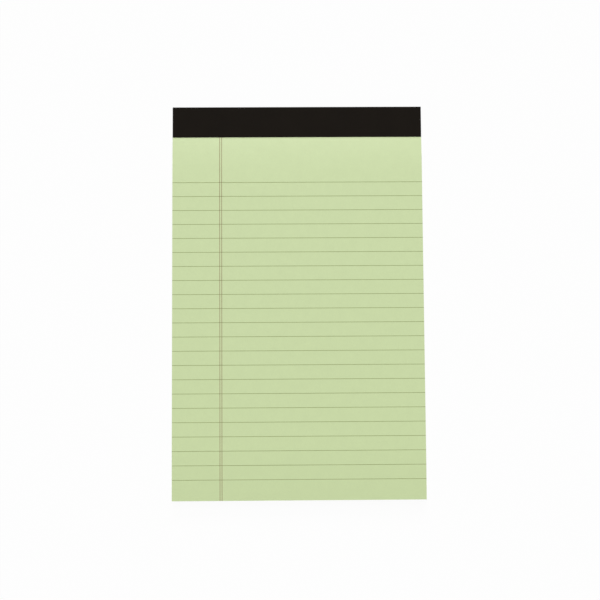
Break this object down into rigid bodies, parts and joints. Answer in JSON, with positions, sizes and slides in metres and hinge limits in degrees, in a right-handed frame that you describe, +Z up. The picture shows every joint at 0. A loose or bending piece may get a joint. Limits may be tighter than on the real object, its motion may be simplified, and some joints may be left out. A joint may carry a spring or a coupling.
{
  "type": "legal pad",
  "caption": "Top-bound writing pad: pale green ruled sheets with a margin line at the left, stitched to a chipboard back and wrapped at the head with black binding tape",
  "frame": {"origin": "under the middle of the pad, on the surface that it lies on", "axes": "+X across the pad to the right of the reader, +Y along the sheets towards the taped head, +Z up out of the writing face"},
  "size_m": [0.127, 0.1994, 0.0065],
  "materials": {
    "paper": "matte",
    "chipboard": "matte",
    "tape": "matte",
    "wire": "satin",
    "rule_ink": "matte",
    "margin_ink": "matte"
  },
  "bodies": {
    "root": {"sheets": "paper", "backing_board": "chipboard", "binding_tape": "tape", "staples": "wire", "ruled_lines": "rule_ink", "margin_lines": "margin_ink"}
  },
  "joints": []
}
